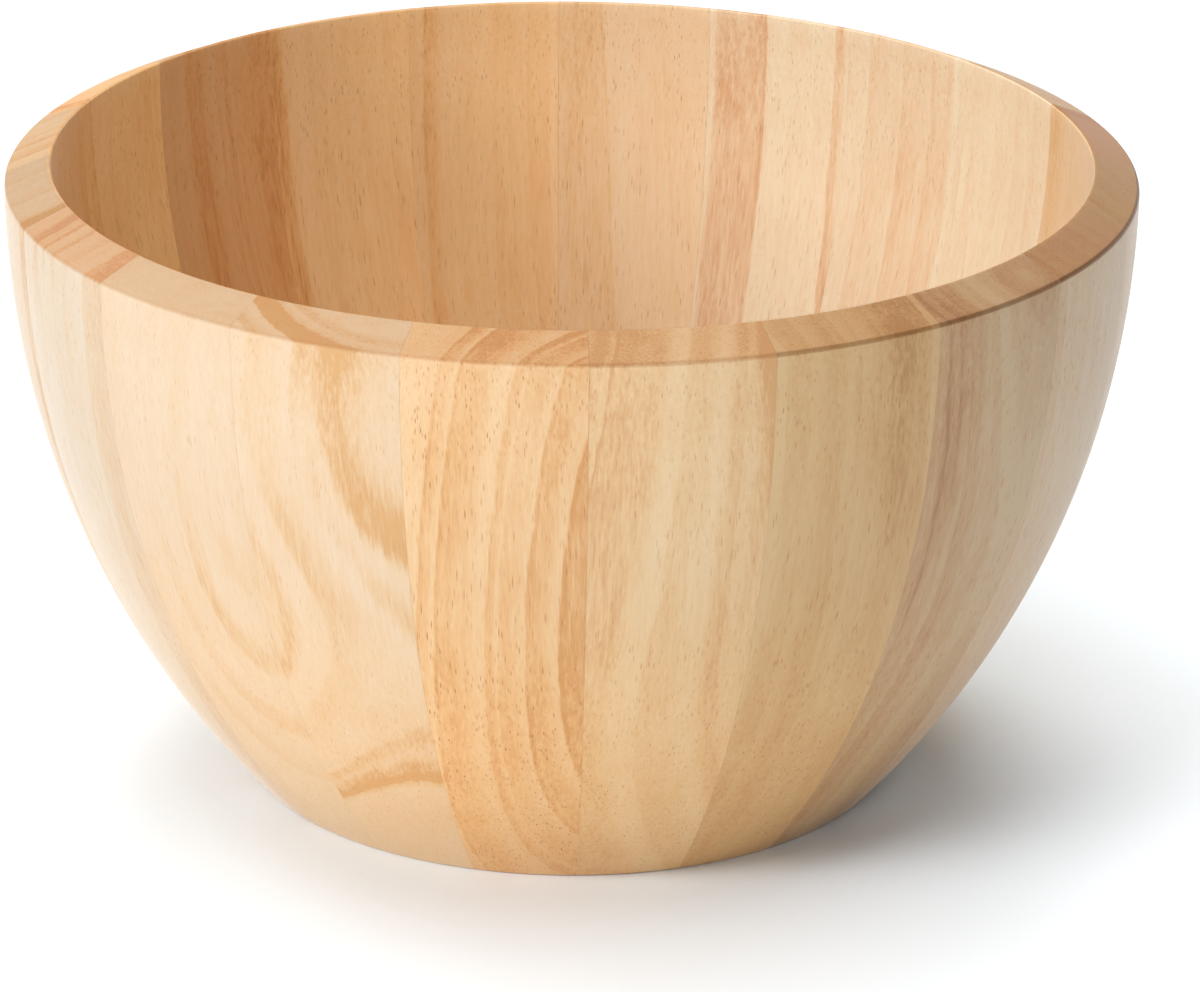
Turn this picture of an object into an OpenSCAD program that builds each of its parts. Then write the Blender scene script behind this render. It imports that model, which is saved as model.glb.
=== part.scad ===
// Wooden salad bowl: upright staves glued edge to edge round a base panel of glued boards.
// The bowl stands on Z = 0 with its axis on Z, and its front faces -Y.

/* [Bowl] */
// Diameter across the outer edge of the rim
rim_diameter = 280; // [240:1:320]
// Height from the table to the inner edge of the rim, before that edge is rounded
bowl_height = 159; // [130:1:190]
// Diameter of the foot, before its edge is rounded
foot_diameter = 162; // [130:1:190]

/* [Wall] */
// Thickness of the wall, square to its surface
wall_thickness = 11.4; // [8:0.2:14]
// Slope of the rim face, which falls outwards from the inner edge
rim_slope = 23; // [0:1:35]
// Rounding of the rim's outer edge
rim_outer_round = 1.5; // [0.5:0.1:3]
// Rounding of the rim's inner edge
rim_inner_round = 0.6; // [0.2:0.1:1.5]
// Rounding of the foot's edge
foot_round = 1.5; // [0.5:0.1:4]
// Radius of the cove between the wall and the floor inside
cove_radius = 35; // [20:1:45]

/* [Staves] */
// Number of staves round the bowl
stave_count = 20; // [16:1:24]
// Angle from the front to the first joint between staves
first_joint = 2; // [0:0.5:20]

/* [Base] */
// Thickness of the base panel
base_thickness = 12; // [9:0.5:16]
// Height of the base panel's underside above the table
base_recess = 1; // [0.5:0.5:3]
// Width of the ring that the staves form on the underside
foot_ring = 14; // [10:0.5:20]
// How far the flange of the base panel reaches out under the staves
rebate_width = 7; // [4:0.5:10]
// Height of the flange of the base panel
rebate_height = 6; // [4:0.5:8]
// Number of boards in the base panel
board_count = 3; // [2:1:5]

/* [Glue] */
// Thickness of the glue line between two pieces
glue_line = 0.1; // [0.05:0.05:0.3]

/* [Hidden] */
$fn = 180;

stave_tones = ["burlywood", "wheat", "#e2b97f", "#ecd3a4"];
board_tone = "#e6c592";

rim_r = rim_diameter / 2;
foot_r = foot_diameter / 2;
floor_z = base_recess + base_thickness;
// Height of the rim's outer edge
rim_z = bowl_height - wall_thickness * tan(rim_slope);
// The wall is one arc that runs from the foot's edge to the rim, where it stands upright
flare = rim_r - foot_r;
outer_arc = (flare * flare + rim_z * rim_z) / (2 * flare);
inner_arc = outer_arc - wall_thickness;
arc_centre = [rim_r - outer_arc, rim_z];
// Directions along the rim face, outwards, and square to it, into the wood
rim_along = [cos(rim_slope), -sin(rim_slope)];
rim_inward = [-sin(rim_slope), -cos(rim_slope)];
stave_angle = 360 / stave_count;
// Angle that one glue line takes up at the rim
glue_angle = 2 * asin(glue_line / 2 / rim_r);
// How far a rounding stands over the two sides that it joins
hair = 0.005;
// Radius of the base panel's seat in the staves
seat_r = foot_r - foot_ring;
board_w = 2 * seat_r / board_count;

function stave_name(i) = str("stave_", i < 9 ? "0" : "", i + 1);
function board_name(i) = str("base_board_", i + 1);
function unit(v) = v / norm(v);
// Centre of a rounding between a straight line and a circle about arc_centre: it lies at the distance
// reach from arc_centre, and at the rounding's radius from the line through point
function rounding_centre(point, inward, along, radius, reach) =
    let (offset = radius - (arc_centre - point) * inward)
    arc_centre + offset * inward + sqrt(reach * reach - offset * offset) * along;

// Rounds one corner of a shape about centre, between the directions a and b from it to the two sides.
// The round stands over both sides by a hair, so that it crosses them instead of only touching them
module rounded_corner(centre, radius, a, b) {
    reach = 2 * radius;
    difference() {
        children();
        difference() {
            polygon([centre, centre + reach * a, centre + reach * (a + b), centre + reach * b]);
            translate(centre) circle(radius + hair);
        }
    }
}

// Half section of the bowl's outside, solid to the axis, with the foot's and the rim's outer edges rounded
module outside_section() {
    spare = 2 * wall_thickness;
    rim_c = rounding_centre([rim_r, rim_z], rim_inward, rim_along, rim_outer_round, outer_arc - rim_outer_round);
    foot_c = rounding_centre([0, 0], [0, 1], [1, 0], foot_round, outer_arc - foot_round);
    rounded_corner(rim_c, rim_outer_round, -rim_inward, unit(rim_c - arc_centre))
    rounded_corner(foot_c, foot_round, [0, -1], unit(foot_c - arc_centre))
    intersection() {
        translate(arc_centre) circle(outer_arc);
        polygon([
            [0, 0],
            [rim_r + spare, 0],
            [rim_r + spare, rim_z - spare * tan(rim_slope)],
            [0, rim_z + rim_r * tan(rim_slope)]
        ]);
    }
}

// Half section of the space inside, with the cove round its floor
module inside_section() {
    cove_c = rounding_centre([0, floor_z], [0, 1], [1, 0], cove_radius, inner_arc - cove_radius);
    rounded_corner(cove_c, cove_radius, [0, -1], unit(cove_c - arc_centre))
    intersection() {
        translate(arc_centre) circle(inner_arc);
        translate([0, floor_z]) square([rim_r, 2 * bowl_height]);
    }
}

// Half section of the base panel with its flange, drawn in by a clearance
module base_zone(clearance) {
    square([seat_r - clearance, base_recess + rebate_height - clearance]);
    square([seat_r - rebate_width - clearance, floor_z]);
}

// Half section of a stave, cut away where the base panel is let in
module stave_section() {
    edge_c = rounding_centre([rim_r, rim_z], rim_inward, rim_along, rim_inner_round, inner_arc + rim_inner_round);
    rounded_corner(edge_c, rim_inner_round, -rim_inward, unit(arc_centre - edge_c))
    difference() {
        outside_section();
        inside_section();
        base_zone(0);
    }
}

// One stave, a slice of the wall between two upright joints
module stave(i) {
    color(stave_tones[i % len(stave_tones)])
    rotate([0, 0, first_joint - 90 + i * stave_angle + glue_angle / 2])
    rotate_extrude(angle = stave_angle - glue_angle) stave_section();
}

// One board of the base panel, with its grain along Y
module base_board(i) {
    color(board_tone)
    intersection() {
        rotate_extrude() difference() {
            base_zone(glue_line);
            inside_section();
            square([seat_r, base_recess]);
        }
        translate([i * board_w - seat_r + glue_line / 2, -seat_r, 0])
        cube([board_w - glue_line, 2 * seat_r, floor_z]);
    }
}

for (i = [0 : stave_count - 1]) stave(i);
for (i = [0 : board_count - 1]) base_board(i);
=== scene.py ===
"""Dresses a coopered salad bowl: oiled rubberwood staves, a base of glued boards and a plain studio."""

from __future__ import annotations

import logging
import math
from collections.abc import Sequence
from dataclasses import dataclass, field
from enum import Enum
from typing import Any, Union

import bmesh
import bpy
from mathutils import Matrix, Vector

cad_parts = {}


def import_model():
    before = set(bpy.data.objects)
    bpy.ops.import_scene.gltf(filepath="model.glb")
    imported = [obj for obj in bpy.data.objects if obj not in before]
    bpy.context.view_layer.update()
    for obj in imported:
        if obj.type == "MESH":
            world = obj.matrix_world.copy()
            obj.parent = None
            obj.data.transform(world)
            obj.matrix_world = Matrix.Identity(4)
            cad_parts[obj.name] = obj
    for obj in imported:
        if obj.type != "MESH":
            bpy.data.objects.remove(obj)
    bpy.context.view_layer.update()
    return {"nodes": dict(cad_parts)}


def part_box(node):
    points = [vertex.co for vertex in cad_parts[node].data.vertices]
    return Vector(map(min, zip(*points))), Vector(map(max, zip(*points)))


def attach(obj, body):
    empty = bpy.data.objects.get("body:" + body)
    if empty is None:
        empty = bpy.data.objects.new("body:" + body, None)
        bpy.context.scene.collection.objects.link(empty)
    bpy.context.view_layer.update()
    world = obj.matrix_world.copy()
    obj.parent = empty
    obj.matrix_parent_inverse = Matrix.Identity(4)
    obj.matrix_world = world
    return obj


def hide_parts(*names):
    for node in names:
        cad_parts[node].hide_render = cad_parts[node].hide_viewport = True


log = logging.getLogger("salad_bowl")

BODY = "root"
MM = 0.001
RIGHT = Vector((1.0, 0.0, 0.0))
UP = Vector((0.0, 0.0, 1.0))
DOWN = -UP

Colour = tuple[float, float, float]
Range = tuple[float, float]

NEUTRAL: Colour = (1.0, 1.0, 1.0)
PORE_COLOUR: Colour = (0.33, 0.135, 0.045)
FLECK_COLOUR: Colour = (0.44, 0.26, 0.125)
# Painted shade: dark brown laid on the rim's outer rounding, which faces away from the lamps on the
# right.
RIM_EDGE_SHADE: Colour = (0.5, 0.42, 0.36)


class Wire:
    """One output socket of a shader graph, with the operators of a number."""

    def __init__(self, graph: "Graph", socket: bpy.types.NodeSocket) -> None:
        """Keeps the graph and the socket."""
        self.graph = graph
        self.socket = socket

    def _math(self, operation: str, *values: "Number") -> "Wire":
        """Adds a Math node to the graph.

        Args:
            operation: the Math node's operation.
            values: its inputs, in order.

        Returns:
            The node's output.
        """
        inputs = dict(zip(("Value", "Value_001"), values))
        return self.graph.node("ShaderNodeMath", {"operation": operation}, inputs)

    def __add__(self, other: "Number") -> "Wire":
        """Sum."""
        return self._math("ADD", self, other)

    def __radd__(self, other: "Number") -> "Wire":
        """Sum, with the wire on the right."""
        return self._math("ADD", other, self)

    def __sub__(self, other: "Number") -> "Wire":
        """Difference."""
        return self._math("SUBTRACT", self, other)

    def __rsub__(self, other: "Number") -> "Wire":
        """Difference, with the wire on the right."""
        return self._math("SUBTRACT", other, self)

    def __mul__(self, other: "Number") -> "Wire":
        """Product."""
        return self._math("MULTIPLY", self, other)

    def __rmul__(self, other: "Number") -> "Wire":
        """Product, with the wire on the right."""
        return self._math("MULTIPLY", other, self)

    def __truediv__(self, other: "Number") -> "Wire":
        """Quotient."""
        return self._math("DIVIDE", self, other)

    def __rtruediv__(self, other: "Number") -> "Wire":
        """Quotient, with the wire on the right."""
        return self._math("DIVIDE", other, self)

    def __pow__(self, other: "Number") -> "Wire":
        """Power."""
        return self._math("POWER", self, other)

    def __rpow__(self, other: "Number") -> "Wire":
        """Power, with the wire on the right."""
        return self._math("POWER", other, self)

    def __neg__(self) -> "Wire":
        """The value with its sign turned."""
        return self._math("MULTIPLY", self, -1.0)

    def __abs__(self) -> "Wire":
        """Absolute value."""
        return self._math("ABSOLUTE", self)

    def floor(self) -> "Wire":
        """Whole number at or below the value."""
        return self._math("FLOOR", self)

    def fract(self) -> "Wire":
        """Share of the value above its whole number."""
        return self._math("FRACT", self)

    def at_most(self, limit: "Number") -> "Wire":
        """The smaller of the value and a limit."""
        return self._math("MINIMUM", self, limit)

    def at_least(self, limit: "Number") -> "Wire":
        """The larger of the value and a limit."""
        return self._math("MAXIMUM", self, limit)

    def exp(self) -> "Wire":
        """Exponential of the value."""
        return self._math("EXPONENT", self)

    def arctan2(self, across: "Number") -> "Wire":
        """Bearing of a point, with the value as its height over the line across."""
        return self._math("ARCTAN2", self, across)

    def step(self, low: float, high: float) -> "Wire":
        """Smooth step of the value.

        Args:
            low: the value that gives 0.
            high: the value that gives 1; it may be the smaller of the two.

        Returns:
            A wire from 0 to 1.
        """
        settings = {"interpolation_type": "SMOOTHSTEP"}
        inputs = {"Value": self, "From Min": low, "From Max": high}
        return self.graph.node("ShaderNodeMapRange", settings, inputs, "Result")


Number = Union[Wire, float, int]


class Blend(Enum):
    """Ways of mixing two colours."""

    MIX = "MIX"
    MULTIPLY = "MULTIPLY"


class Graph:
    """A material's node tree, built by expressions on wires."""

    def __init__(self, name: str) -> None:
        """Makes an empty material.

        Args:
            name: the material's name.
        """
        self.material = bpy.data.materials.new(name)
        self.material.use_nodes = True
        self.tree = self.material.node_tree
        self.tree.nodes.clear()

    def node(self, kind: str, settings: dict[str, Any] | None = None,
             inputs: dict[str, Any] | None = None, output: str | None = None) -> Wire:
        """Adds one node.

        Args:
            kind: the node's type.
            settings: its properties; "stops" are the (place, colour) pairs of a colour ramp.
            inputs: values or wires by the identifier or name of their socket.
            output: name or identifier of the output to return, the first one where it is left out.

        Returns:
            The output as a wire.
        """
        made = self.tree.nodes.new(kind)
        for key, value in (settings or {}).items():
            if key == "stops":
                self._set_stops(made.color_ramp, value)
            else:
                setattr(made, key, value)
        for key, value in (inputs or {}).items():
            socket = self._find(made.inputs, key)
            if isinstance(value, Wire):
                self.tree.links.new(value.socket, socket)
            else:
                socket.default_value = value
        if not made.outputs:
            return Wire(self, made.inputs[0])
        return Wire(self, self._find(made.outputs, output) if output else made.outputs[0])

    @staticmethod
    def _find(sockets: Any, key: str) -> bpy.types.NodeSocket:
        """Finds a socket of a node.

        Args:
            sockets: the node's inputs or outputs.
            key: identifier of the socket, or else the name of one that is in use.

        Returns:
            The socket.
        """
        by_identifier = [s for s in sockets if s.identifier == key]
        by_name = [s for s in sockets if s.name == key and s.enabled]
        return (by_identifier or by_name)[0]

    @staticmethod
    def _set_stops(ramp: bpy.types.ColorRamp, stops: Sequence[tuple[float, Colour]]) -> None:
        """Gives a colour ramp its stops.

        Args:
            ramp: the ramp.
            stops: place and colour of each stop, in order of place.
        """
        while len(ramp.elements) > 1:
            ramp.elements.remove(ramp.elements[-1])
        for number, (place, colour) in enumerate(stops):
            element = ramp.elements[0] if number == 0 else ramp.elements.new(place)
            element.position = place
            element.color = (*colour, 1.0)

    def place(self) -> Wire:
        """Place on the object in metres, as a vector."""
        return self.node("ShaderNodeTexCoord", None, None, "Object")

    def vector(self, x: Number, y: Number, z: Number) -> Wire:
        """Vector of three numbers."""
        return self.node("ShaderNodeCombineXYZ", None, {"X": x, "Y": y, "Z": z})

    def parts(self, vector: Wire) -> tuple[Wire, Wire, Wire]:
        """Takes a vector apart.

        Args:
            vector: the vector.

        Returns:
            Its three numbers.
        """
        split = self.node("ShaderNodeSeparateXYZ", None, {"Vector": vector}, "X")
        outputs = split.socket.node.outputs
        return split, Wire(self, outputs["Y"]), Wire(self, outputs["Z"])

    def length(self, vector: Wire) -> Wire:
        """Length of a vector."""
        return self.node("ShaderNodeVectorMath", {"operation": "LENGTH"}, {"Vector": vector}, "Value")

    def noise(self, vector: Wire, detail: float, roughness: float = 0.5) -> Wire:
        """Noise from -1 to 1 or so, about one wave per unit of the vector.

        Args:
            vector: the place to read it.
            detail: its octaves.
            roughness: how strong the finer octaves are.

        Returns:
            The noise as a number.
        """
        inputs = {"Vector": vector, "Scale": 1.0, "Detail": detail, "Roughness": roughness}
        return (self.node("ShaderNodeTexNoise", None, inputs, "Fac") - 0.5) * 2.0

    def mix(self, factor: Number, first: Wire | Colour, second: Wire | Colour,
            blend: Blend = Blend.MIX) -> Wire:
        """Mix of two colours.

        Args:
            factor: 0 for the first colour, 1 for the second.
            first: the first colour.
            second: the second colour.
            blend: the way of mixing.

        Returns:
            The colour.
        """
        colours = [c if isinstance(c, Wire) else (*c, 1.0) for c in (first, second)]
        settings = {"data_type": "RGBA", "blend_type": blend.value}
        inputs = {"Factor_Float": factor, "A_Color": colours[0], "B_Color": colours[1]}
        return self.node("ShaderNodeMix", settings, inputs, "Result_Color")

    def tint(self, factor: Number, colour: Wire, tint: Colour) -> Wire:
        """Colour times a tint, by a factor from 0 to 1."""
        return self.mix(factor, colour, tint, Blend.MULTIPLY)

    def surface(self, inputs: dict[str, Any]) -> bpy.types.Material:
        """Closes the graph with its shader.

        Args:
            inputs: values or wires of the shader, by the name of their socket.

        Returns:
            The material.
        """
        shader = self.node("ShaderNodeBsdfPrincipled", None, inputs)
        self.node("ShaderNodeOutputMaterial", None, {"Surface": shader})
        return self.material


@dataclass(frozen=True)
class WoodTone:
    """Colours of one piece of rubberwood, from its palest wood to its darkest rings."""

    pale: Colour
    warm: Colour
    deep: Colour


class Tone(Enum):
    """Tones that the staves come in."""

    CREAM = WoodTone((0.59, 0.436, 0.264), (0.548, 0.357, 0.186), (0.475, 0.267, 0.117))
    PEACH = WoodTone((0.583, 0.404, 0.233), (0.542, 0.321, 0.15), (0.458, 0.233, 0.088))
    TAN = WoodTone((0.55, 0.375, 0.196), (0.50, 0.304, 0.138), (0.40, 0.213, 0.083))
    ROSE = WoodTone((0.517, 0.371, 0.221), (0.455, 0.278, 0.143), (0.365, 0.192, 0.088))
    BLUSH = WoodTone((0.617, 0.467, 0.304), (0.567, 0.367, 0.221), (0.458, 0.254, 0.142))
    AMBER = WoodTone((0.71, 0.475, 0.255), (0.66, 0.38, 0.163), (0.53, 0.25, 0.083))
    # Grey-pale wood, partly painted: its paleness stands in for the white reflection that grazes
    # stave_17's wall.
    MILK_WITH_PAINTED_VEIL = WoodTone((0.53, 0.43, 0.32), (0.51, 0.365, 0.23), (0.455, 0.28, 0.15))
    SHELL = WoodTone((0.575, 0.442, 0.31), (0.548, 0.372, 0.217), (0.49, 0.28, 0.118))
    HONEY = WoodTone((0.665, 0.50, 0.325), (0.63, 0.41, 0.213), (0.535, 0.295, 0.12))
    PALE = WoodTone((0.68, 0.585, 0.42), (0.64, 0.46, 0.293), (0.56, 0.33, 0.18))


@dataclass(frozen=True)
class Fading:
    """How a mark fades, with reaches in millimetres.

    It is whole over a share of its fade. Its end is soft, but over no more than the softest share of
    the fade. Above its top and below its foot a rest of it is left.
    """

    whole: float = 0.3
    end: float = 0.7
    softest: float = 0.5
    above: float = 0.15
    top_reach: Range = (20.0, -20.0)
    below: float = 0.1
    foot_reach: Range = (-15.0, 10.0)


@dataclass(frozen=True)
class Mark:
    """A strong ring: where it ends, how far it fades inward, or outward if negative, and how dark.

    Above its top and below its foot, heights over the table, it is faint.
    """

    place: float
    fade: float
    strength: float
    top: float | None = None
    foot: float | None = None

    def shade(self, distance: Wire, high: Wire, fading: Fading) -> Wire:
        """How much darker the mark makes the wood.

        Args:
            distance: distance from the pith.
            high: height over the table.
            fading: how the mark fades.

        Returns:
            The darkness, below 0 for a mark that is paler than the wood.
        """
        offset = (self.place - distance) / self.fade
        soft = min(fading.end / abs(self.fade), fading.softest)
        shade = offset.step(1.0, fading.whole) * offset.step(-soft, 0.0)
        for height, reach, rest in ((self.top, fading.top_reach, fading.above),
                                    (self.foot, fading.foot_reach, fading.below)):
            if height is not None:
                seen = high.step(height + reach[0], height + reach[1])
                shade = shade * (rest + seen * (1.0 - rest))
        return shade * self.strength


@dataclass(frozen=True)
class Swell:
    """A swelling of the rings around a knot: its middle, its size and by how much it lifts them."""

    across: float
    high: float
    width: float
    height: float
    lift: float


@dataclass(frozen=True)
class Figure:
    """How one stave was cut from its log, in millimetres, with the stave to the front, from outside.

    Across runs to the right, deep runs towards the bowl's axis and high runs up. The rim's tint is the
    colour of its end grain. The tints of the low part of the wall and of the inside are painted light,
    and the rim's outer edge gets painted shade.
    """

    tone: Tone
    pith: tuple[float, float, float]
    lean: Range = (0.0, 0.0)
    closing: Range = (0.0, 0.0)
    ring: float = 6.0
    rings: float = 0.5
    marks: tuple[Mark, ...] = ()
    swell: Swell | None = None
    sway: float = 1.0
    ripple: float = 0.3
    feather: float = 0.7
    patchy: float = 0.8
    pores: float = 1.0
    flecks: float = 0.1
    shade: float = 1.0
    rim_tint: Colour = (0.83, 0.735, 0.63)
    # How strongly painted shade darkens the rim's outer rounding.
    rim_edge_shade: float = 0.15
    # Painted light on the downward-facing low wall, standing in for the light the floor bounces onto
    # it.
    foot_painted_light: Colour = (1.20, 1.08, 0.90)
    # Painted light on the inside faces, making up for how the light falls in the bowl.
    inside_painted_light: Colour = NEUTRAL
    sheen: float = 0.16


class Axis(Enum):
    """Directions in a piece of wood."""

    ACROSS = 0
    DEEP = 1
    HIGH = 2


@dataclass(frozen=True)
class Noise:
    """Size of a noise across and along the fibres, in millimetres, its detail and its roughness."""

    width: float
    length: float
    detail: float
    roughness: float = 0.5


class Grain(Enum):
    """Fine noises, drawn out along the fibres."""

    THREAD = Noise(0.35, 14.0, 2.0)
    SPECK = Noise(0.5, 4.0, 1.0)
    FIBRE = Noise(0.8, 12.0, 3.0, 0.6)
    FEATHER = Noise(1.1, 14.0, 2.0, 0.6)
    STREAK = Noise(2.4, 60.0, 3.0)
    CLUSTER = Noise(6.0, 22.0, 1.0)


class Drift(Enum):
    """Broad noises through a piece of wood, each with the axis along which the seed moves it."""

    RIPPLE = (Noise(5.0, 30.0, 2.0), Axis.DEEP)
    PATCH = (Noise(12.0, 28.0, 2.0), Axis.ACROSS)
    CLOUD = (Noise(22.0, 45.0, 2.0), Axis.DEEP)
    SWAY = (Noise(30.0, 80.0, 1.0), Axis.ACROSS)
    BEND = (Noise(40.0, 60.0, 1.0), Axis.HIGH)


@dataclass(frozen=True)
class Oil:
    """Satin oil on the wood: its roughness and what adds to it, its gloss and its relief."""

    roughness: float = 0.44
    thread_roughness: float = 0.05
    pore_roughness: float = 0.2
    end_roughness: float = 0.2
    gloss: float = 0.25
    sheen_roughness: float = 0.3
    relief: float = 0.12
    depth: float = 0.1 * MM
    thread_height: float = 0.25


@dataclass(frozen=True)
class Shares:
    """How strongly each part of the figure shows in the wood's colour."""

    level: float = 0.16
    rings: float = 0.8
    ring_fibres: float = 0.5
    end_rings: float = 0.65
    streak: float = 0.22
    fibre: float = 0.24
    speck: float = 0.2
    cloud: float = 0.25
    pores: float = 0.85
    low_pores: float = 0.4
    warm_stop: float = 0.55


@dataclass(frozen=True)
class Facings:
    """Cosines between which a part of the surface sets in, from none of it to all of it.

    The inside is told from the rim by a direction that rises a little.
    """

    end_grain: Range = (0.45, 0.85)
    # The downward-facing low wall, which gets more pores and painted light.
    low_wall: Range = (0.2, 0.62)
    # The inside faces, which get painted light.
    inside: Range = (0.0, 0.25)
    inside_rise: float = 0.3
    # The rim's outer rounding, which gets painted shade.
    shaded_edge_out: Range = (0.42, 0.62)
    shaded_edge_up: Range = (0.1, 0.3)


@dataclass(frozen=True)
class RingForm:
    """How the growth rings are spaced and how each one darkens up to its sharp end."""

    drift: float = 2.5
    uneven: float = 0.8
    rise: float = 1.4
    end: Range = (1.0, 0.93)
    faintest: float = 0.2


@dataclass(frozen=True)
class FleckForm:
    """Ray flecks: length and height in millimetres, count round the pith, and how they set in."""

    length: float = 4.0
    height: float = 0.5
    count: float = 120.0
    sets_in: Range = (0.12, 0.6)


@dataclass(frozen=True)
class PoreForm:
    """Pores: width and length in millimetres, their edge, how uneven they are and how they cluster."""

    width: float = 0.58
    length: float = 6.5
    edge: Range = (0.36, 0.14)
    uneven: float = 1.7
    cluster: Range = (-0.35, 0.3)
    outside_cluster: float = 0.5


@dataclass
class Rubberwood:
    """Oiled rubberwood with growth rings, pores, ray flecks and fibres, as a solid material."""

    name: str
    figure: Figure
    seed: float
    turn: float = 0.0
    fibre_lean: float = -0.25
    fibre_bend: float = 1.5
    oil: Oil = Oil()
    fading: Fading = Fading()
    shares: Shares = Shares()
    facings: Facings = Facings()
    ring_form: RingForm = RingForm()
    fleck_form: FleckForm = FleckForm()
    pore_form: PoreForm = PoreForm()
    graph: Graph = field(init=False)
    grain: tuple[Wire, Wire, Wire] = field(init=False)
    fibres: Wire = field(init=False)

    def __post_init__(self) -> None:
        """Starts the graph with the place in the wood and the place among its fibres."""
        self.graph = Graph(self.name)
        self.grain = self._grain()
        self.fibres = self._fibres()

    def material(self) -> bpy.types.Material:
        """Builds the rest of the graph.

        Returns:
            The material.
        """
        oil = self.oil
        end_grain = abs(self._facing(self._fibre_direction())).step(*self.facings.end_grain)
        distance = self._distance()
        dark = (self._rings(distance) + self._marks(distance)) * self._patches()
        dark = dark * (1.0 + end_grain * self.shares.end_rings)
        pore = self._pores()
        thread = self._along(Grain.THREAD)
        height = thread * oil.thread_height - pore
        relief = {"Strength": oil.relief, "Distance": oil.depth, "Height": height}
        rough = oil.roughness + thread * oil.thread_roughness + pore * oil.pore_roughness
        return self.graph.surface({
            "Base Color": self._pores_and_painted_light(self._colour(dark), pore, end_grain),
            "Roughness": rough + end_grain * oil.end_roughness,
            "Normal": self.graph.node("ShaderNodeBump", None, relief),
            "Specular IOR Level": oil.gloss,
            "Sheen Weight": self.figure.sheen,
            "Sheen Roughness": oil.sheen_roughness,
        })

    def _pores_and_painted_light(self, colour: Wire, pore: Wire, end_grain: Wire) -> Wire:
        """Adds the pores to the wood's colour, the end grain's colour where the surface cuts across the
        fibres, painted light on the low wall and the inside, and painted shade on the rim's outer edge.

        Args:
            colour: colour of the wood.
            pore: how much of a pore there is.
            end_grain: how far the surface cuts across the fibres.

        Returns:
            The colour.
        """
        graph = self.graph
        figure = self.figure
        facings = self.facings
        outward = Vector((math.sin(self.turn), -math.cos(self.turn), 0.0))
        inward = (UP * facings.inside_rise - outward).normalized()
        # low: the downward-facing low wall, which gets more pores and painted light.
        low = self._facing(DOWN).step(*facings.low_wall)
        # inner: the inside faces, which get painted light.
        inner = self._facing(inward).step(*facings.inside)
        # edge: the rim's outer rounding, which gets painted shade.
        edge = self._facing(outward).step(*facings.shaded_edge_out) * self._facing(UP).step(*facings.shaded_edge_up)
        filled = pore * (self.shares.pores * figure.pores) * (1.0 + low * self.shares.low_pores)
        colour = graph.mix(filled, colour, PORE_COLOUR)
        # Painted light: brighter and warmer by default, as the floor's bounce light; darker and warmer
        # as painted shade on stave_03 to stave_05.
        colour = graph.tint(low, colour, figure.foot_painted_light)
        # Painted light: a tint on the inside faces that makes up for how the light falls inside the
        # bowl and evens the inside out.
        colour = graph.tint(inner, colour, figure.inside_painted_light)
        colour = graph.tint(end_grain, colour, figure.rim_tint)
        # Painted shade on the rim's outer rounding, strongest on the staves to the right of the front.
        return graph.tint(edge * figure.rim_edge_shade, colour, RIM_EDGE_SHADE)

    def _grain(self) -> tuple[Wire, Wire, Wire]:
        """Place in the wood in millimetres from the pith.

        Returns:
            The place across, deep and high.
        """
        scale = 1.0 / MM
        inputs = {
            "Vector": self.graph.place(),
            "Rotation": (0.0, 0.0, -self.turn),
            "Scale": (scale, scale, scale),
            "Location": tuple(-c for c in self.figure.pith),
        }
        return self.graph.parts(self.graph.node("ShaderNodeMapping", {"vector_type": "POINT"}, inputs))

    def _fibres(self) -> Wire:
        """Place in the wood once its fibres, which lean out with the wall, are stood upright.

        Returns:
            The place as a vector, with the fibres along its last number.
        """
        across, deep, high = self.grain
        bend = self._drift(Drift.BEND) * self.fibre_bend
        return self.graph.vector(across + bend, deep - high * self.fibre_lean, high + self.seed)

    def _stretch(self, width: float, length: float) -> Wire:
        """Place among the fibres, scaled for a texture.

        Args:
            width: size of the texture's features across the fibres, in millimetres.
            length: their size along the fibres, in millimetres.

        Returns:
            The scaled place.
        """
        inputs = {"Vector": self.fibres, "Vector_001": (1.0 / width, 1.0 / width, 1.0 / length)}
        return self.graph.node("ShaderNodeVectorMath", {"operation": "MULTIPLY"}, inputs, "Vector")

    def _along(self, grain: Grain) -> Wire:
        """Fine noise along the fibres."""
        noise = grain.value
        return self.graph.noise(self._stretch(noise.width, noise.length), noise.detail, noise.roughness)

    def _drift(self, drift: Drift) -> Wire:
        """Broad noise through the wood.

        Args:
            drift: which noise it is.

        Returns:
            The noise.
        """
        noise, moved = drift.value
        across, deep, high = self.grain
        place = [across / noise.width, deep / noise.width, high / noise.length]
        place[moved.value] = place[moved.value] + self.seed
        return self.graph.noise(self.graph.vector(*place), noise.detail, noise.roughness)

    def _distance(self) -> Wire:
        """Distance from the pith, swayed and feathered as grain is.

        Returns:
            The distance in millimetres.
        """
        figure = self.figure
        across, deep, high = self.grain
        along = high.at_least(0.0) * figure.closing[0] + high.at_most(0.0) * figure.closing[1]
        side, depth = across - high * figure.lean[0], deep - high * figure.lean[1]
        distance = self.graph.length(self.graph.vector(side, depth, along))
        if figure.swell:
            knot = figure.swell
            off = (across - (knot.across - figure.pith[0])) / knot.width
            rise = (high - (knot.high - figure.pith[2])) / knot.height
            distance = distance + (-(off * off + rise * rise)).exp() * knot.lift
        sway = self._drift(Drift.SWAY) * figure.sway
        ripple = self._drift(Drift.RIPPLE) * figure.ripple
        return distance + sway + ripple + self._along(Grain.FEATHER) * figure.feather

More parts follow.
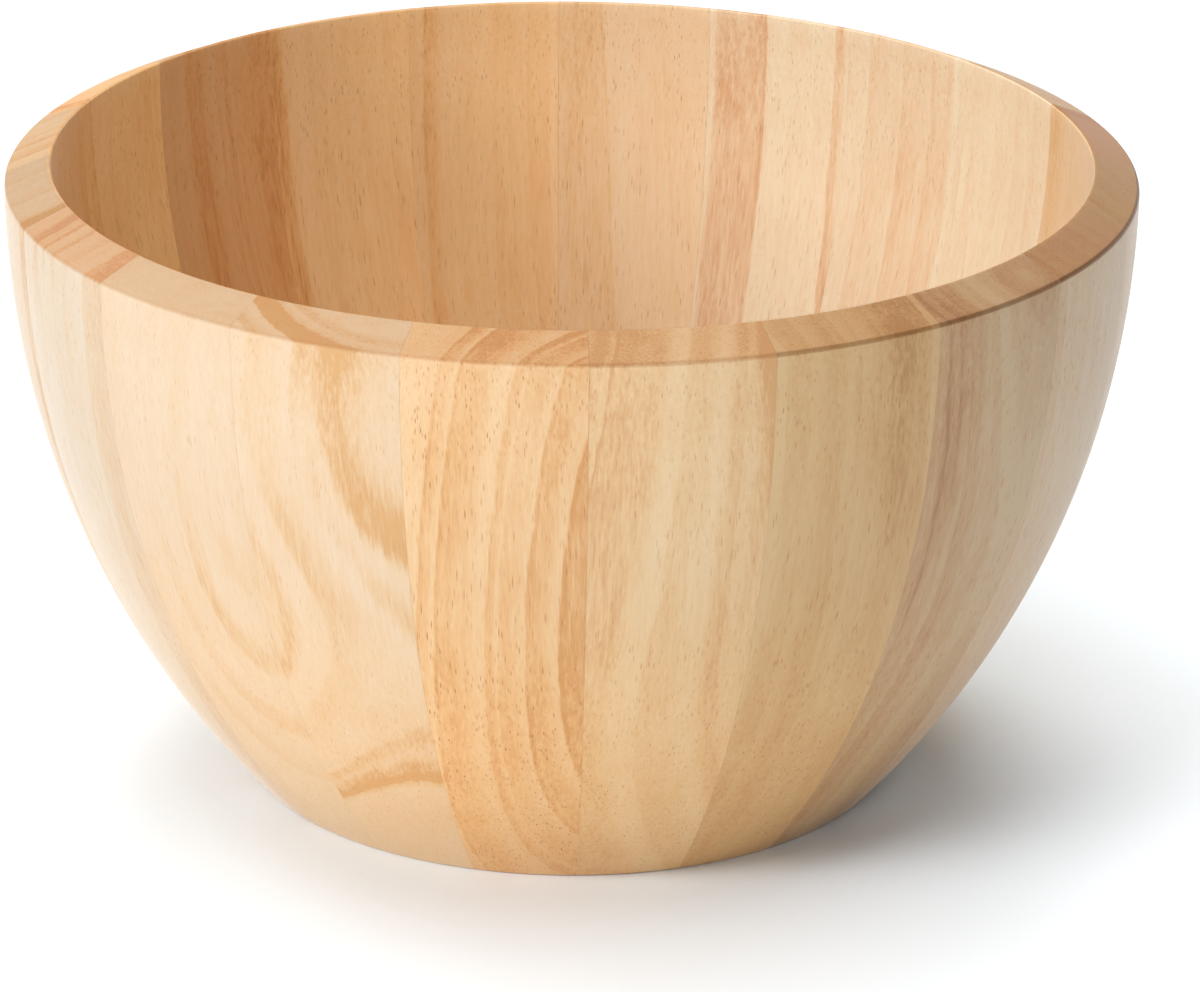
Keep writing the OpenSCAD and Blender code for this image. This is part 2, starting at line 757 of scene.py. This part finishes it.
    def _rings(self, distance: Wire) -> Wire:
        """Growth rings of random strength, each darker up to its sharp end.

        Args:
            distance: distance from the pith.

        Returns:
            How dark the wood is, from 0 to 1.
        """
        graph = self.graph
        form = self.ring_form
        ring = self.figure.ring
        uneven = graph.noise(graph.vector(distance / (form.drift * ring), self.seed, 0.0), 1.0)
        count = distance / ring + uneven * form.uneven
        share = count.fract()
        inputs = {"Vector": graph.vector(count.floor(), self.seed, 0.0)}
        chance = graph.node("ShaderNodeTexWhiteNoise", {"noise_dimensions": "3D"}, inputs, "Value")
        strength = form.faintest + chance * (1.0 - form.faintest)
        return share ** form.rise * share.step(*form.end) * strength * self.figure.rings

    def _marks(self, distance: Wire) -> Number:
        """The few strong rings that stand out on a stave.

        Args:
            distance: distance from the pith.

        Returns:
            How dark the wood is, from 0 to 1.
        """
        high = self.grain[2] + self.figure.pith[2]
        total: Number = 0.0
        for mark in self.figure.marks:
            total = total + mark.shade(distance, high, self.fading)
        return total

    def _patches(self) -> Wire:
        """How strongly the rings show from place to place, as a factor about 1."""
        return (1.0 + self._drift(Drift.PATCH) * self.figure.patchy).at_least(0.0)

    def _colour(self, dark: Wire) -> Wire:
        """Colour of the wood before its pores.

        Args:
            dark: how dark the rings are.

        Returns:
            The colour.
        """
        graph = self.graph
        shares = self.shares
        tone = self.figure.tone.value
        fibre = self._along(Grain.FIBRE)
        amount = dark * (shares.rings + fibre * shares.ring_fibres) + fibre * shares.fibre
        amount = amount + self._along(Grain.STREAK) * shares.streak
        amount = amount + self._along(Grain.SPECK) * shares.speck
        amount = amount + self._drift(Drift.CLOUD) * shares.cloud + shares.level
        stops = [(0.0, tone.pale), (shares.warm_stop, tone.warm), (1.0, tone.deep)]
        colour = graph.node("ShaderNodeValToRGB", {"stops": stops}, {"Fac": amount}, "Color")
        colour = graph.mix(self._flecks() * self.figure.flecks, colour, FLECK_COLOUR)
        level = self.figure.shade
        return graph.tint(1.0, colour, (level, level, level))

    def _flecks(self) -> Wire:
        """Ray flecks: short dashes that run out from the pith.

        Returns:
            How strong a fleck is, from 0 to 1.
        """
        form = self.fleck_form
        across, deep, high = self.grain
        length = (across * across + deep * deep) ** 0.5
        bearing = deep.arctan2(across) * form.count
        place = self.graph.vector(length / form.length, bearing, high / form.height)
        return self.graph.noise(place, 1.0).step(*form.sets_in)

    def _pores(self) -> Wire:
        """Pores: fine dark tubes along the fibres, some darker than others.

        Returns:
            How much of a pore there is, from 0 to 1.
        """
        graph = self.graph
        form = self.pore_form
        inputs = {"Vector": self._stretch(form.width, form.length), "Scale": 1.0}
        near = graph.node("ShaderNodeTexVoronoi", {"feature": "F1"}, inputs, "Distance")
        cell = Wire(graph, near.socket.node.outputs["Color"])
        chance = graph.node("ShaderNodeSeparateColor", None, {"Color": cell}, "Red")
        cluster = self._along(Grain.CLUSTER).step(*form.cluster)
        dense = form.outside_cluster + cluster * (1.0 - form.outside_cluster)
        return near.step(*form.edge) * chance ** form.uneven * dense

    def _facing(self, direction: Vector) -> Wire:
        """How far the surface faces a direction: 1 straight to it, 0 square to it, -1 away from it.

        Args:
            direction: the direction, of length 1.

        Returns:
            The cosine of the angle between the surface's normal and the direction.
        """
        normal = self.graph.node("ShaderNodeNewGeometry", None, None, "Normal")
        inputs = {"Vector": normal, "Vector_001": direction}
        return self.graph.node("ShaderNodeVectorMath", {"operation": "DOT_PRODUCT"}, inputs, "Value")

    def _fibre_direction(self) -> Vector:
        """Direction in which the fibres run, upright but for their lean."""
        lean = Matrix.Rotation(self.turn, 3, "Z") @ Vector((0.0, self.fibre_lean, 0.0))
        return (UP + lean).normalized()


@dataclass
class BoardWood(Rubberwood):
    """Rubberwood whose grain lies flat, along a base board."""

    middle: Vector = field(default_factory=Vector)

    def _grain(self) -> tuple[Wire, Wire, Wire]:
        """Place in the board in millimetres from its pith.

        Returns:
            The place across, deep and along.
        """
        x, y, z = self.graph.parts(self.graph.place())
        scale = 1.0 / MM
        across = (x - self.middle.x) * scale - self.figure.pith[0]
        deep = (z - self.middle.z) * scale - self.figure.pith[2]
        return across, deep, y * scale

    def _fibre_direction(self) -> Vector:
        """Direction in which the fibres run, along the board."""
        return Vector((0.0, 1.0, 0.0))


@dataclass
class Section:
    """Half section through the wall of the bowl, in metres: the driving sizes of the frame's solids."""

    rim_radius: float = 140 * MM
    height: float = 159 * MM
    foot_radius: float = 81 * MM
    wall: float = 11.4 * MM
    rim_slope: float = math.radians(23)
    rim_outer_round: float = 1.5 * MM
    rim_inner_round: float = 0.6 * MM
    foot_round: float = 1.5 * MM
    cove: float = 35 * MM
    floor: float = 13 * MM
    seat_radius: float = 67 * MM
    seat_height: float = 7 * MM
    seat_width: float = 7 * MM
    inner_arc: float = field(init=False)
    outer_arc: float = field(init=False)
    centre: Vector = field(init=False)

    def __post_init__(self) -> None:
        """Works out the wall's arc, which runs from the foot's edge to the rim and is upright there."""
        edge = self.height - self.wall * math.tan(self.rim_slope)
        flare = self.rim_radius - self.foot_radius
        self.outer_arc = (flare * flare + edge * edge) / (2 * flare)
        self.inner_arc = self.outer_arc - self.wall
        self.centre = Vector((self.rim_radius - self.outer_arc, 0.0, edge))

    def rounding(self, point: Vector, inward: Vector, along: Vector, radius: float,
                 reach: float) -> Vector:
        """Centre of a rounding between a straight line and a circle about the wall's centre.

        Args:
            point: a point on the line.
            inward: direction square to the line, towards the rounding's centre.
            along: direction along the line, towards the corner.
            radius: the rounding's radius.
            reach: distance of the rounding's centre from the wall's centre.

        Returns:
            The rounding's centre.
        """
        offset = radius - (self.centre - point).dot(inward)
        return self.centre + offset * inward + math.sqrt(reach * reach - offset * offset) * along


class Pen:
    """Draws a section in the XZ plane with bmesh operators, one stroke after another."""

    def __init__(self, mesh: bmesh.types.BMesh, start: Vector) -> None:
        """Puts the pen down.

        Args:
            mesh: the mesh to draw in.
            start: the first point.
        """
        self.mesh = mesh
        self.first = bmesh.ops.create_vert(mesh, co=start)["vert"][0]
        self.last = self.first

    def line(self, end: Vector, steps: int = 1) -> None:
        """Draws a straight stroke.

        Args:
            end: where it ends.
            steps: into how many edges it is parted.
        """
        stride = (end - self.last.co) / steps
        for _ in range(steps):
            made = bmesh.ops.extrude_vert_indiv(self.mesh, verts=[self.last])
            self.last = made["verts"][0]
            bmesh.ops.translate(self.mesh, vec=stride, verts=[self.last])

    def arc(self, centre: Vector, end: Vector, steps: int) -> None:
        """Draws a round stroke from the pen's place to the bearing of a point, the short way.

        Args:
            centre: the arc's centre.
            end: a point on the bearing where it ends.
            steps: into how many edges it is parted.
        """
        before = self.last.co - centre
        after = end - centre
        turn = before.z * after.x - before.x * after.z
        angle = math.atan2(turn, before.x * after.x + before.z * after.z)
        made = bmesh.ops.spin(self.mesh, geom=[self.last], cent=centre, axis=(0.0, 1.0, 0.0),
                              angle=angle, steps=steps, use_duplicate=False)
        self.last = [g for g in made["geom_last"] if isinstance(g, bmesh.types.BMVert)][0]

    def close(self) -> bmesh.types.BMFace:
        """Joins the last point to the first, and fills the outline.

        Returns:
            The face.
        """
        bmesh.ops.contextual_create(self.mesh, geom=[self.last, self.first])
        return bmesh.ops.contextual_create(self.mesh, geom=self.mesh.edges[:])["faces"][0]


@dataclass(frozen=True)
class Steps:
    """Into how many edges each stroke of a stave's section is parted, and its turn about the axis."""

    foot: int = 6
    foot_round: int = 5
    outer_wall: int = 56
    rim_outer_round: int = 6
    rim: int = 10
    rim_inner_round: int = 4
    inner_wall: int = 44
    cove: int = 14
    turn: int = 18


def to_object(name: str, mesh: bmesh.types.BMesh) -> bpy.types.Object:
    """Turns a mesh into an object of the scene.

    Args:
        name: the object's name.
        mesh: the mesh, which is freed.

    Returns:
        The object, at the origin.
    """
    data = bpy.data.meshes.new(name)
    mesh.to_mesh(data)
    mesh.free()
    made = bpy.data.objects.new(name, data)
    bpy.context.scene.collection.objects.link(made)
    return made


@dataclass
class Stave:
    """One upright stave of the wall, a slice of the bowl between two glued joints."""

    number: int
    start: float
    sweep: float
    section: Section
    figure: Figure
    steps: Steps = Steps()
    sharp_angle: float = math.radians(30)
    seed_stride: float = 7.3

    def build(self) -> bpy.types.Object:
        """Models the stave and dresses it.

        Returns:
            The stave's object, at the origin.
        """
        mesh = bmesh.new()
        face = self._outline(mesh)
        bmesh.ops.rotate(mesh, matrix=Matrix.Rotation(self.start, 3, "Z"), verts=mesh.verts[:])
        bmesh.ops.spin(mesh, geom=[face, *face.edges, *face.verts], cent=(0.0, 0.0, 0.0), axis=UP,
                       angle=self.sweep, steps=self.steps.turn, use_duplicate=False)
        bmesh.ops.recalc_face_normals(mesh, faces=mesh.faces[:])
        for made in mesh.faces:
            made.smooth = True
        for edge in mesh.edges:
            edge.smooth = edge.calc_face_angle(math.pi) < self.sharp_angle
        stave = to_object(f"oiled_stave_{self.number:02d}", mesh)
        turn = self.start + self.sweep / 2 + math.pi / 2
        seed = self.seed_stride * self.number
        wood = Rubberwood(f"rubberwood_{self.number:02d}", self.figure, seed, turn)
        stave.data.materials.append(wood.material())
        return stave

    def _outline(self, mesh: bmesh.types.BMesh) -> bmesh.types.BMFace:
        """Draws the stave's section.

        Args:
            mesh: the mesh to draw in.

        Returns:
            The section as a face.
        """
        s = self.section
        steps = self.steps
        along = Vector((math.cos(s.rim_slope), 0.0, -math.sin(s.rim_slope)))
        inward = Vector((-math.sin(s.rim_slope), 0.0, -math.cos(s.rim_slope)))
        rim = Vector((s.rim_radius, 0.0, s.centre.z))
        floor = Vector((0.0, 0.0, s.floor))
        foot_c = s.rounding(Vector(), UP, RIGHT, s.foot_round, s.outer_arc - s.foot_round)
        rim_c = s.rounding(rim, inward, along, s.rim_outer_round, s.outer_arc - s.rim_outer_round)
        edge_c = s.rounding(rim, inward, along, s.rim_inner_round, s.inner_arc + s.rim_inner_round)
        cove_c = s.rounding(floor, UP, RIGHT, s.cove, s.inner_arc - s.cove)
        toe = s.seat_radius - s.seat_width
        pen = Pen(mesh, Vector((s.seat_radius, 0.0, 0.0)))
        pen.line(Vector((foot_c.x, 0.0, 0.0)), steps.foot)
        pen.arc(foot_c, foot_c + (foot_c - s.centre), steps.foot_round)
        pen.arc(s.centre, rim_c, steps.outer_wall)
        pen.arc(rim_c, rim_c - inward, steps.rim_outer_round)
        pen.line(edge_c - inward * s.rim_inner_round, steps.rim)
        pen.arc(edge_c, s.centre, steps.rim_inner_round)
        pen.arc(s.centre, cove_c, steps.inner_wall)
        pen.arc(cove_c, cove_c + DOWN, steps.cove)
        pen.line(Vector((toe, 0.0, s.floor)))
        pen.line(Vector((toe, 0.0, s.seat_height)))
        pen.line(Vector((s.seat_radius, 0.0, s.seat_height)))
        return pen.close()


SIDE_PITH = (-100.0, -125.0, 80.0)

# Round the bowl to the right, from the stave right of the front.
# In these figures the tints of the foot and the inside are painted light, and the rim's edge shade is
# painted shade.
FIGURES: tuple[Figure, ...] = (
    # stave_01
    Figure(Tone.CREAM, (-60.8, -66.2, 80.0), (-0.212, -0.602), ring=8.0, rings=0.2, ripple=0.2,
           patchy=0.5, pores=0.7, flecks=0.28, rim_edge_shade=0.3, inside_painted_light=(1.03, 0.99, 0.92),
           marks=(Mark(65.9, 14.0, 0.45), Mark(65.9, -16.0, 0.6), Mark(75.0, -4.0, 0.15),
                  Mark(83.1, -7.0, 0.3), Mark(95.0, 4.0, 0.3), Mark(107.0, 18.0, 0.25),
                  Mark(105.0, 9.0, 0.5, foot=108.0), Mark(103.0, 8.0, 0.6, foot=145.0),
                  Mark(63.5, 5.0, 0.3, foot=145.0))),
    # stave_02
    Figure(Tone.TAN, (-100.0, -130.0, 80.0), (-0.03, -0.1), rings=0.2, shade=0.93, rim_edge_shade=0.65,
           inside_painted_light=(1.19, 1.23, 1.31),
           marks=(Mark(82.0, 3.0, -0.25), Mark(88.0, 8.0, 0.2), Mark(97.6, 9.0, 0.25),
                  Mark(117.0, 10.0, 0.2), Mark(121.5, 24.0, 0.45, foot=105.0))),
    # stave_03
    Figure(Tone.ROSE, (12.9, -111.1, 80.0), (0.014, -0.298), ring=5.0, rings=0.2, shade=0.93,
           rim_edge_shade=0.85, foot_painted_light=(1.04, 0.91, 0.72), inside_painted_light=(1.27, 1.24, 1.17),
           marks=(Mark(8.0, 8.0, 0.25), Mark(17.5, 5.5, -0.25), Mark(26.5, 5.0, 0.38),
                  Mark(33.3, 6.0, 0.4), Mark(33.0, -14.0, 0.3), Mark(30.0, 5.0, 0.35, foot=105.0))),
    # stave_04
    Figure(Tone.BLUSH, (-100.0, -130.0, 80.0), ring=8.0, rings=0.25, shade=0.91,
           rim_tint=(0.64, 0.46, 0.29), rim_edge_shade=1.0, foot_painted_light=(1.0, 0.88, 0.72),
           inside_painted_light=(1.08, 1.01, 0.88),
           marks=(Mark(81.5, 4.0, 0.35),)),
    # stave_05
    Figure(Tone.BLUSH, (60.0, -190.0, 80.0), ring=9.0, rings=0.4, rim_tint=(0.59, 0.44, 0.25),
           rim_edge_shade=1.0, foot_painted_light=(1.0, 0.9, 0.75)),
    # stave_06
    Figure(Tone.HONEY, SIDE_PITH, ring=7.0, rings=0.2, pores=0.5, rim_tint=(0.58, 0.38, 0.24),
           rim_edge_shade=0.8,
           marks=(Mark(121.0, 14.0, 0.3),)),
    # stave_07
    Figure(Tone.PALE, SIDE_PITH, ring=9.0, rings=0.2, pores=0.5, shade=1.05,
           rim_tint=(0.68, 0.52, 0.38), rim_edge_shade=0.6),
    # stave_08
    Figure(Tone.PALE, SIDE_PITH, ring=8.0, rings=0.4, pores=0.65, shade=1.04,
           marks=(Mark(84.5, 2.5, -0.3), Mark(86.0, -40.0, 0.15))),
    # stave_09
    Figure(Tone.PALE, SIDE_PITH, ring=7.0, rings=0.15, pores=0.65, shade=1.06,
           marks=(Mark(83.7, 4.0, 0.7), Mark(104.4, -17.0, 0.65), Mark(118.0, 8.0, 0.35))),
    # stave_10
    Figure(Tone.HONEY, SIDE_PITH, (0.07, 0.0), ring=4.0, rings=0.2, pores=0.75, shade=1.08,
           marks=(Mark(104.0, -22.0, 0.34),)),
    # stave_11
    Figure(Tone.AMBER, SIDE_PITH, ring=9.0, rings=0.25, pores=0.8, shade=1.05, foot_painted_light=NEUTRAL,
           marks=(Mark(82.0, 2.0, -0.3), Mark(116.0, 5.0, 0.4))),
    # stave_12
    Figure(Tone.AMBER, SIDE_PITH, (0.05, 0.0), ring=7.0, rings=0.25, pores=0.8, shade=1.13,
           foot_painted_light=NEUTRAL,
           marks=(Mark(113.0, 9.0, -0.25), Mark(119.5, 10.0, 0.6))),
    # stave_13
    Figure(Tone.AMBER, SIDE_PITH, (0.05, 0.0), pores=0.75, foot_painted_light=NEUTRAL,
           inside_painted_light=(1.01, 0.92, 0.86),
           marks=(Mark(77.0, -15.0, 0.5), Mark(92.5, 2.5, 0.4), Mark(106.0, 7.0, 0.4),
                  Mark(121.0, 10.0, -0.2))),
    # stave_14
    Figure(Tone.AMBER, SIDE_PITH, (0.06, 0.0), ring=8.0, rings=0.2, pores=0.7, shade=1.17,
           foot_painted_light=NEUTRAL, inside_painted_light=(1.12, 1.16, 1.14),
           marks=(Mark(110.5, -9.0, 0.45), Mark(80.0, -9.0, 0.2))),
    # stave_15
    Figure(Tone.HONEY, (-110.0, -150.0, 80.0), ring=7.0, pores=0.6, shade=0.93,
           foot_painted_light=(1.05, 1.0, 0.95), inside_painted_light=(1.37, 1.18, 0.88)),
    # stave_16
    Figure(Tone.SHELL, (-100.0, -130.0, 80.0), ring=7.0, rings=0.4, shade=0.9, sheen=0.2,
           inside_painted_light=(1.42, 1.23, 0.9),
           marks=(Mark(122.0, 6.0, 0.7),)),
    # stave_17: grey-pale tone partly a painted reflection; rim and inside tinted back to warm wood
    Figure(Tone.MILK_WITH_PAINTED_VEIL, (-100.0, -112.0, 80.0), (0.04, -0.25), ring=9.0, rings=0.2, patchy=0.4, pores=0.6,
           shade=0.94, sheen=0.4, rim_tint=(0.90, 0.68, 0.50), inside_painted_light=(1.32, 1.11, 0.8),
           marks=(Mark(86.0, 6.0, 0.6, foot=148.0), Mark(91.0, 2.0, 0.5, foot=148.0),
                  Mark(97.0, 2.5, 0.4, foot=148.0), Mark(104.0, 4.0, 0.25, foot=130.0),
                  Mark(112.0, -22.0, 0.45))),
    # stave_18
    Figure(Tone.SHELL, (18.0, -144.4, 67.6), (0.047, -0.092), (0.2, 0.41), ring=9.0, rings=0.1,
           pores=0.4, shade=0.93, inside_painted_light=(1.2, 1.07, 0.85),
           marks=(Mark(18.0, 4.0, 0.35, 95.0), Mark(25.0, 4.0, 0.45, 100.0),
                  Mark(34.7, 5.0, 0.35, 90.0), Mark(44.0, 5.0, 0.25, 85.0))),
    # stave_19
    Figure(Tone.SHELL, (10.1, -64.1, 87.4), (0.069, -0.372), (0.57, 0.29), ring=7.0, rings=0.1,
           sway=0.1, feather=0.12, patchy=0.6, pores=0.4, shade=0.95, inside_painted_light=(1.16, 1.04, 0.83),
           swell=Swell(-22.2, 79.2, 30.0, 30.9, 4.02),
           marks=(Mark(64.4, 1.8, 0.35, foot=75.0), Mark(64.4, 2.2, 0.65, 116.0, 75.0),
                  Mark(66.2, 0.8, 0.4, 100.0, 70.0), Mark(70.0, 2.4, 0.2),
                  Mark(70.0, 3.4, 0.5, 105.0, 82.0), Mark(73.6, 1.4, 0.5, 95.0),
                  Mark(74.8, 2.4, 0.4, 90.0), Mark(63.7, -1.5, 0.7, 60.0), Mark(63.7, -0.5, 0.75, 60.0),
                  Mark(65.6, 0.8, 0.5, 65.0), Mark(66.0, 5.0, 0.6, foot=145.0),
                  Mark(61.0, 2.0, 0.3, foot=145.0))),
    # stave_20
    Figure(Tone.PEACH, (35.2, -138.0, 80.0), (0.074, -0.282), ring=5.0, rings=0.1, sway=0.3,
           feather=0.5, pores=1.15, inside_painted_light=(1.05, 1.06, 1.03),
           marks=(Mark(56.1, 4.0, 0.4), Mark(51.7, 11.5, 0.45), Mark(39.7, 2.7, 0.5),
                  Mark(36.8, 6.0, 0.4), Mark(30.7, 6.5, 0.5), Mark(23.8, 10.0, 0.6),
                  Mark(56.1, 0.9, 0.15), Mark(51.7, 1.0, 0.2), Mark(30.7, 1.0, 0.2),
                  Mark(23.8, 1.0, 0.25))),
)


@dataclass
class Base:
    """The base panel: boards glued edge to edge, as the frame has them."""

    nodes: dict[str, bpy.types.Object]
    figure: Figure = Figure(Tone.HONEY, (0.0, 20.0, 90.0), ring=5.0, shade=0.95)
    first_seed: float = 31.7

    def dress(self) -> list[str]:
        """Gives each board its wood, with the grain along the board.

        Returns:
            The boards' names.
        """
        names = sorted(n for n in self.nodes if n.startswith("base_board_"))
        for number, name in enumerate(names):
            low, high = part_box(name)
            middle = (Vector(low) + Vector(high)) / 2
            seed = self.first_seed + number
            wood = BoardWood(f"rubberwood_{name}", self.figure, seed, fibre_lean=0.0, middle=middle)
            self.nodes[name].material_slots[0].material = wood.material()
        return names


@dataclass
class Bowl:
    """The whole bowl: the ring of staves and the base panel."""

    nodes: dict[str, bpy.types.Object]
    section: Section = field(default_factory=Section)
    first_joint: float = math.radians(2)
    glue_line: float = 0.04 * MM

    def build(self) -> None:
        """Builds every stave in place of its solid, and dresses the base boards."""
        names = sorted(n for n in self.nodes if n.startswith("stave_"))
        angle = 2 * math.pi / len(names)
        glue = 2 * math.asin(self.glue_line / 2 / self.section.rim_radius)
        for number, name in enumerate(names):
            start = self.first_joint - math.pi / 2 + number * angle + glue / 2
            figure = FIGURES[number % len(FIGURES)]
            stave = Stave(number + 1, start, angle - glue, self.section, figure).build()
            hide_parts(name)
            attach(stave, BODY)
            log.info("built %s for %s", stave.name, name)
        for name in Base(self.nodes).dress():
            log.info("dressed %s", name)


class LampKind(Enum):
    """Kinds of light in the studio."""

    BOX = "AREA"
    SKY = "SUN"


@dataclass(frozen=True)
class Lamp:
    """A soft light: its bearing from the front to the right and its rise, its width and its power.

    Bearing and rise are in degrees. A box's width is in metres and its power in watts; a sky's are in
    degrees and in watts per square metre.
    """

    name: str
    kind: LampKind
    bearing: float
    rise: float
    width: float
    power: float


LAMPS: tuple[Lamp, ...] = (
    Lamp("key", LampKind.BOX, -60, 22, 0.55, 17.8),
    Lamp("high_key", LampKind.SKY, -40, 40, 17, 0.75),
    Lamp("left_back", LampKind.BOX, -140, 22, 0.55, 3.8),
    Lamp("front", LampKind.BOX, -4, 12, 1.0, 14.1),
    Lamp("back", LampKind.SKY, 180, 55, 31, 1.0),
    Lamp("right_back", LampKind.BOX, 150, 12, 1.0, 7.5),
    Lamp("left_top", LampKind.SKY, -120, 55, 25, 0.37),
    Lamp("top", LampKind.SKY, 0, 88, 45, 1.9),
)


@dataclass
class Studio:
    """Pale floor, soft light from the left, and the camera."""

    target: Vector = field(default_factory=lambda: Vector((7.61, 0.0, 68.21)) * MM)
    distance: float = 1679.4 * MM
    elevation: float = math.radians(21.15)
    roll: float = math.radians(0.542)
    lens: float = 200.0
    sensor_width: float = 36.0
    clip_end: float = 50.0
    floor_size: float = 12.0
    # Painted light: the floor is tinted blue to cancel the wood's warm bounce light, bluer near the
    # bowl.
    near_floor_cooled_against_bounce: Colour = (0.83, 0.90, 0.965)
    far_floor_cooled_against_bounce: Colour = (0.835, 0.885, 0.925)
    floor_fade: Range = (0.1, 0.16)
    floor_roughness: float = 0.8
    lamp_aim: Vector = field(default_factory=lambda: UP * 0.08)
    lamp_distance: float = 1.8
    lamp_clearance: float = 0.02

    def build(self) -> None:
        """Makes the floor, the lights, the dark room and the camera."""
        self._floor()
        for lamp in LAMPS:
            self._light(lamp)
        self._room()
        self._camera()

    def _floor(self) -> None:
        """Lays a pale floor, tinted blue as painted light: the tint cancels the warm light the wood
        bounces onto it, and is bluest near the bowl.
        """
        mesh = bmesh.new()
        bmesh.ops.create_grid(mesh, x_segments=1, y_segments=1, size=self.floor_size / 2)
        floor = to_object("studio_floor", mesh)
        graph = Graph("pale_floor")
        away = graph.length(graph.place()).step(*self.floor_fade)
        colour = graph.mix(away, self.near_floor_cooled_against_bounce, self.far_floor_cooled_against_bounce)
        finish = graph.surface({"Base Color": colour, "Roughness": self.floor_roughness})
        floor.data.materials.append(finish)
        log.info("laid %s", floor.name)

    def _light(self, lamp: Lamp) -> None:
        """Hangs one soft light that faces the bowl.

        Args:
            lamp: the light's name, kind, place, width and power.
        """
        bearing = math.radians(lamp.bearing)
        rise = math.radians(lamp.rise)
        level = Vector((math.sin(bearing), -math.cos(bearing), 0.0)) * math.cos(rise)
        place = self.lamp_aim + self.lamp_distance * (level + UP * math.sin(rise))
        data = bpy.data.lights.new(lamp.name, lamp.kind.value)
        data.energy = lamp.power
        if lamp.kind is LampKind.BOX:
            place.z = max(place.z, lamp.width / 2 + self.lamp_clearance)
            data.shape = "SQUARE"
            data.size = lamp.width
        else:
            data.angle = math.radians(lamp.width)
        light = bpy.data.objects.new(lamp.name, data)
        light.location = place
        light.rotation_euler = (self.lamp_aim - place).to_track_quat("-Z", "Y").to_euler()
        light.visible_camera = False
        bpy.context.scene.collection.objects.link(light)
        log.info("hung the %s light", light.name)

    @staticmethod
    def _room() -> None:
        """Darkens the room, so that only the lamps light it, and shows plain colours."""
        world = bpy.data.worlds.new("studio")
        world.use_nodes = True
        world.node_tree.nodes["Background"].inputs["Strength"].default_value = 0.0
        bpy.context.scene.world = world
        bpy.context.scene.view_settings.view_transform = "Standard"

    def _camera(self) -> None:
        """Sets the camera at the photograph's angle."""
        back = Vector((0.0, -math.cos(self.elevation), math.sin(self.elevation)))
        level = Matrix((RIGHT, back.cross(RIGHT), back)).transposed()
        turned = level @ Matrix.Rotation(self.roll, 3, "Z")
        data = bpy.data.cameras.new("camera")
        data.lens = self.lens
        data.sensor_width = self.sensor_width
        data.clip_end = self.clip_end
        camera = bpy.data.objects.new("camera", data)
        place = Matrix.Translation(self.target + back * self.distance)
        camera.matrix_world = place @ turned.to_4x4()
        bpy.context.scene.collection.objects.link(camera)
        bpy.context.scene.camera = camera
        log.info("set the camera")


def main() -> None:
    """Builds the bowl and its studio around the frame."""
    logging.basicConfig(level=logging.INFO, format="%(name)s: %(message)s")
    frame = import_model()
    Bowl(frame["nodes"]).build()
    Studio().build()


if __name__ == "__main__":
    main()
